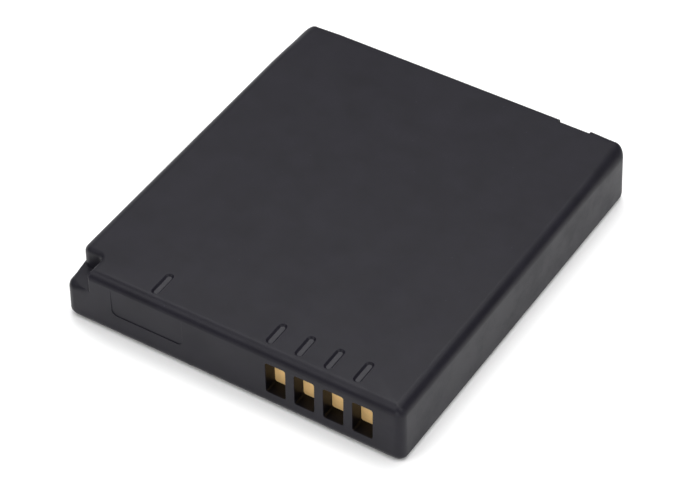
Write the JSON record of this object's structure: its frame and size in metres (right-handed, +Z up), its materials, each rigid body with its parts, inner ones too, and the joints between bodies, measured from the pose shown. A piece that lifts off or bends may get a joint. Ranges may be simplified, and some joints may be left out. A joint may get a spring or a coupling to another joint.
{
  "type": "camera battery",
  "caption": "Slim rectangular camera battery in a dark moulded case, with gilt contacts behind windows in one end, short grooves on top and a key notch at a corner.",
  "frame": {"origin": "middle of the bounding box, at the underside", "axes": "+Z up through the pack's thickness, -Y towards the contact end, +X to the right when the contact end is in front"},
  "size_m": [0.036, 0.0408, 0.0064],
  "materials": {
    "case_plastic": "satin moulded, fine texture",
    "cover_plastic": "satin moulded, fine texture",
    "cell_aluminium": "drawn can, laser-welded lid",
    "gasket_plastic": "moulded",
    "nickel": "rolled strip",
    "steel": "pressed plug",
    "insulating_paper": "die-cut sheet",
    "tape": "double-sided tape",
    "foam": "closed-cell foam",
    "board_laminate": "solder mask over laminate",
    "gilt": "gilt over nickel",
    "chip_resin": "moulded resin",
    "part_ceramic": "fired, with metal ends",
    "resistor_black": "coated, with metal ends",
    "solder": "reflowed solder",
    "fuse_polymer": "filled polymer",
    "amber_film": "polyimide-faced pad"
  },
  "bodies": {
    "root": {"case_shell": "case_plastic", "base_cover": "cover_plastic", "cell_can": "cell_aluminium", "terminal_gasket": "gasket_plastic", "negative_terminal": "nickel", "fill_plug": "steel", "header_insulator": "insulating_paper", "upper_tape": "tape", "lower_pad": "foam", "end_pad": "foam", "circuit_board": "board_laminate", "contact_positive": "gilt", "contact_data": "gilt", "contact_thermistor": "gilt", "contact_negative": "gilt", "protection_chip": "chip_resin", "mosfet_pair": "chip_resin", "thermistor": "resistor_black", "resistors": "resistor_black", "capacitors": "part_ceramic", "solder_lands": "solder", "thermal_fuse": "fuse_polymer", "negative_strip": "nickel", "fuse_strip": "nickel", "can_strip": "nickel", "strip_insulator": "amber_film"}
  },
  "joints": []
}
